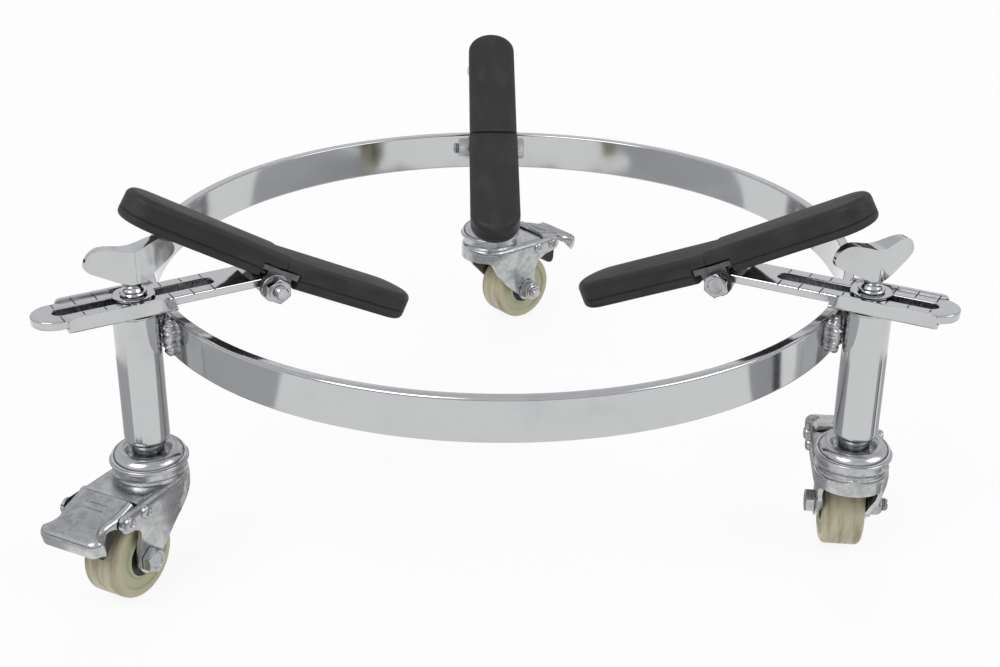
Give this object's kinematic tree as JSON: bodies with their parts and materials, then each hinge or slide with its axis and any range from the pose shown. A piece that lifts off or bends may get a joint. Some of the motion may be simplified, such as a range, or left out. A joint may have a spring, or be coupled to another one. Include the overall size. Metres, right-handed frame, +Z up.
{
  "type": "drum stand",
  "caption": "Low rolling stand for a conga drum: a flat steel hoop on braked swivel casters, with sliding, tilting rubber-covered arms clamped by wing nuts.",
  "frame": {"origin": "on the floor, under the middle of the stand's box as it stands", "axes": "+Z up from the floor the wheels stand on; +Y towards the back arm, away from the viewer; +X to the viewer's right. The hoop's axis is vertical at x 0.0048, y -0.0389."},
  "size_m": [0.5004, 0.5082, 0.2335],
  "materials": {
    "chrome_hoop": "bright chrome on rolled flat bar",
    "chrome_tube": "bright chrome on drawn tube and bent sheet",
    "chrome_bar": "bright chrome over sheared bar with stamped scale lines",
    "chrome_cast": "bright chrome on a smooth casting",
    "zinc_hardware": "bright zinc plate",
    "arm_steel": "bright zinc plate",
    "caster_steel": "bright zinc plate on pressed steel",
    "sleeve_rubber": "satin moulded rubber",
    "wheel_nylon": "ivory nylon, slightly glossy",
    "bearing_seal": "black bearing shields",
    "shoe_plastic": "black moulded block"
  },
  "bodies": {
    "frame": {"hoop_ring": "chrome_hoop", "front_left_upright_tube": "chrome_tube", "front_left_channel_guide": "chrome_tube", "front_left_clamp_washer": "chrome_cast", "front_left_caster_stem": "caster_steel", "front_right_upright_tube": "chrome_tube", "front_right_channel_guide": "chrome_tube", "front_right_clamp_washer": "chrome_cast", "front_right_caster_stem": "caster_steel", "back_upright_tube": "chrome_tube", "back_channel_guide": "chrome_tube", "back_clamp_washer": "chrome_cast", "back_caster_stem": "caster_steel"},
    "front_left_slider": {"front_left_slide_bar": "chrome_bar", "front_left_pivot_bolt": "zinc_hardware", "front_left_pivot_nut": "zinc_hardware"},
    "front_left_arm": {"front_left_arm_core": "arm_steel", "front_left_outer_sleeve": "sleeve_rubber", "front_left_inner_sleeve": "sleeve_rubber"},
    "front_left_wing": {"front_left_wing_nut": "chrome_cast", "front_left_clamp_stud": "zinc_hardware"},
    "front_left_fork": {"front_left_caster_fork": "caster_steel", "front_left_axle_bolt": "zinc_hardware", "front_left_axle_nut": "zinc_hardware"},
    "front_left_wheel": {"front_left_caster_wheel": "wheel_nylon", "front_left_wheel_bearing": "bearing_seal"},
    "front_left_brake": {"front_left_brake_pedal": "caster_steel", "front_left_brake_shoe": "shoe_plastic"},
    "front_right_slider": {"front_right_slide_bar": "chrome_bar", "front_right_pivot_bolt": "zinc_hardware", "front_right_pivot_nut": "zinc_hardware"},
    "front_right_arm": {"front_right_arm_core": "arm_steel", "front_right_outer_sleeve": "sleeve_rubber", "front_right_inner_sleeve": "sleeve_rubber"},
    "front_right_wing": {"front_right_wing_nut": "chrome_cast", "front_right_clamp_stud": "zinc_hardware"},
    "front_right_fork": {"front_right_caster_fork": "caster_steel", "front_right_axle_bolt": "zinc_hardware", "front_right_axle_nut": "zinc_hardware"},
    "front_right_wheel": {"front_right_caster_wheel": "wheel_nylon", "front_right_wheel_bearing": "bearing_seal"},
    "front_right_brake": {"front_right_brake_pedal": "caster_steel", "front_right_brake_shoe": "shoe_plastic"},
    "back_slider": {"back_slide_bar": "chrome_bar", "back_pivot_bolt": "zinc_hardware", "back_pivot_nut": "zinc_hardware"},
    "back_arm": {"back_arm_core": "arm_steel", "back_outer_sleeve": "sleeve_rubber", "back_inner_sleeve": "sleeve_rubber"},
    "back_wing": {"back_wing_nut": "chrome_cast", "back_clamp_stud": "zinc_hardware"},
    "back_fork": {"back_caster_fork": "caster_steel", "back_axle_bolt": "zinc_hardware", "back_axle_nut": "zinc_hardware"},
    "back_wheel": {"back_caster_wheel": "wheel_nylon", "back_wheel_bearing": "bearing_seal"},
    "back_brake": {"back_brake_pedal": "caster_steel", "back_brake_shoe": "shoe_plastic"}
  },
  "joints": [
    {"name": "front_left_slide", "type": "slide", "parent": "frame", "child": "front_left_slider", "axis": [-0.866, -0.5, 0], "range_m": [-0.04, 0.0022]},
    {"name": "front_left_tilt", "type": "hinge", "parent": "front_left_slider", "child": "front_left_arm", "pos_m": [-0.13121, -0.11743, 0.16756], "axis": [-0.5, 0.866, 0], "range_deg": [0, 58]},
    {"name": "front_left_clamp", "type": "hinge", "parent": "frame", "child": "front_left_wing", "pos_m": [-0.1966, -0.15518, 0.17516], "axis": [0, 0, 1], "continuous": true},
    {"name": "front_left_swivel", "type": "hinge", "parent": "frame", "child": "front_left_fork", "pos_m": [-0.1966, -0.15518, 0.07], "axis": [0, 0, 1], "continuous": true},
    {"name": "front_left_roll", "type": "hinge", "parent": "front_left_fork", "child": "front_left_wheel", "pos_m": [-0.20896, -0.17749, 0.02486], "axis": [0.8746, -0.4848, 0], "continuous": true},
    {"name": "front_left_brake", "type": "hinge", "parent": "front_left_fork", "child": "front_left_brake", "pos_m": [-0.2187, -0.19506, 0.06026], "axis": [0.8746, -0.4848, 0], "range_deg": [0, 13]},
    {"name": "front_right_slide", "type": "slide", "parent": "frame", "child": "front_right_slider", "axis": [0.866, -0.5, 0], "range_m": [-0.0325, 0.0078]},
    {"name": "front_right_tilt", "type": "hinge", "parent": "front_right_slider", "child": "front_right_arm", "pos_m": [0.13423, -0.11368, 0.16756], "axis": [-0.5, -0.866, 0], "range_deg": [0, 61]},
    {"name": "front_right_clamp", "type": "hinge", "parent": "frame", "child": "front_right_wing", "pos_m": [0.20611, -0.15518, 0.17516], "axis": [0, 0, 1], "continuous": true},
    {"name": "front_right_swivel", "type": "hinge", "parent": "frame", "child": "front_right_fork", "pos_m": [0.20611, -0.15518, 0.07], "axis": [0, 0, 1], "continuous": true},
    {"name": "front_right_roll", "type": "hinge", "parent": "front_right_fork", "child": "front_right_wheel", "pos_m": [0.20943, -0.1299, 0.02486], "axis": [-0.9914, 0.1305, 0], "continuous": true},
    {"name": "front_right_brake", "type": "hinge", "parent": "front_right_fork", "child": "front_right_brake", "pos_m": [0.21206, -0.10997, 0.06026], "axis": [-0.9914, 0.1305, 0], "range_deg": [0, 13]},
    {"name": "back_slide", "type": "slide", "parent": "frame", "child": "back_slider", "axis": [0, 1, 0], "range_m": [-0.0365, 0.0018]},
    {"name": "back_tilt", "type": "hinge", "parent": "back_slider", "child": "back_arm", "pos_m": [0.00475, 0.11457, 0.16756], "axis": [1, 0, 0], "range_deg": [0, 60.5]},
    {"name": "back_clamp", "type": "hinge", "parent": "frame", "child": "back_wing", "pos_m": [0.00475, 0.19357, 0.17516], "axis": [0, 0, 1], "continuous": true},
    {"name": "back_swivel", "type": "hinge", "parent": "frame", "child": "back_fork", "pos_m": [0.00475, 0.19357, 0.07], "axis": [0, 0, 1], "continuous": true},
    {"name": "back_roll", "type": "hinge", "parent": "back_fork", "child": "back_wheel", "pos_m": [0.02512, 0.20891, 0.02486], "axis": [-0.6018, 0.7986, 0], "continuous": true},
    {"name": "back_brake", "type": "hinge", "parent": "back_fork", "child": "back_brake", "pos_m": [0.04117, 0.22101, 0.06026], "axis": [-0.6018, 0.7986, 0], "range_deg": [0, 13]}
  ]
}
